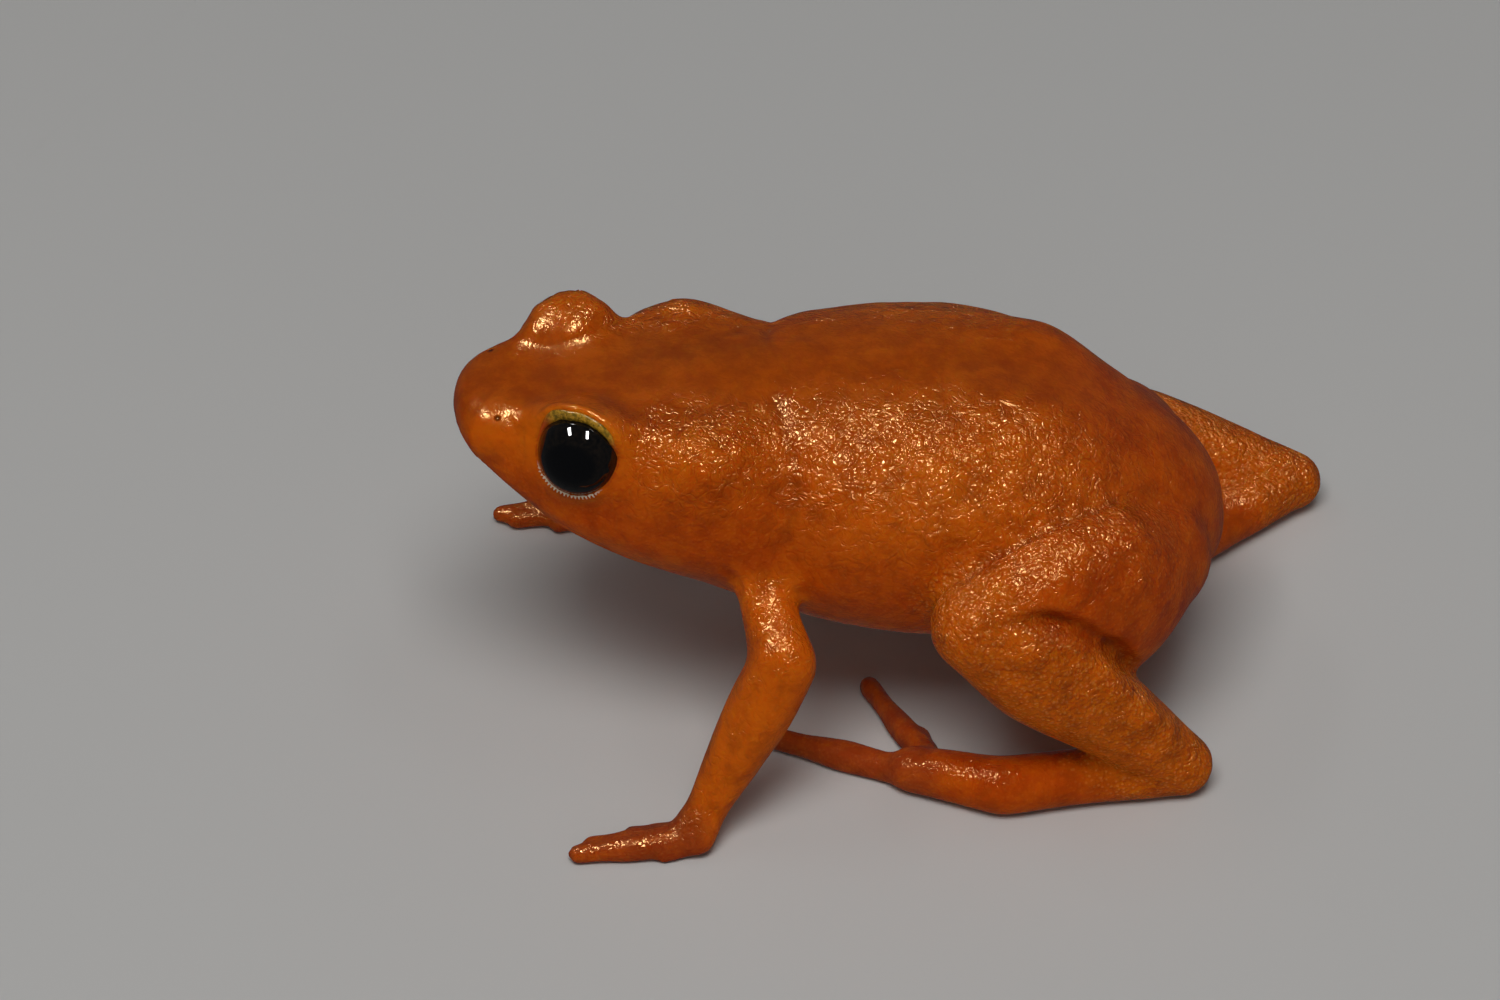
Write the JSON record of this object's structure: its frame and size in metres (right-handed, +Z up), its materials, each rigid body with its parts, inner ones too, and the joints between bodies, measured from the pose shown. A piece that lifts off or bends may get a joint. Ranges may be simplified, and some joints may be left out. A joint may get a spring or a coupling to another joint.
{
  "type": "pumpkin toadlet",
  "caption": "Tiny life-size orange toadlet model standing on its hands and feet, one hind leg tucked up and the other reaching back, head raised, large black eyes.",
  "frame": {"origin": "middle of the footprint's bounding box, on the surface that the hands and feet rest on", "axes": "-X is forwards, from vent to snout; +Y is the animal's right side; +Z is up"},
  "size_m": [0.0214, 0.0142, 0.0101],
  "materials": {
    "skin": "moist, finely wrinkled and pebbled orange skin with a broken wet gloss",
    "digit_skin": "moist rusty orange skin of the hands and feet",
    "eye": "black, wet and fully glossy"
  },
  "bodies": {
    "root": {"head": "skin", "torso": "skin", "eye_left": "eye", "eye_right": "eye", "upper_arm_left": "skin", "upper_arm_right": "skin", "forearm_left": "skin", "forearm_right": "skin", "hand_left": "digit_skin", "hand_right": "digit_skin", "thigh_left": "skin", "thigh_right": "skin", "shank_left": "skin", "shank_right": "skin", "tarsus_left": "skin", "tarsus_right": "skin", "foot_left": "digit_skin", "foot_right": "digit_skin"}
  },
  "joints": []
}
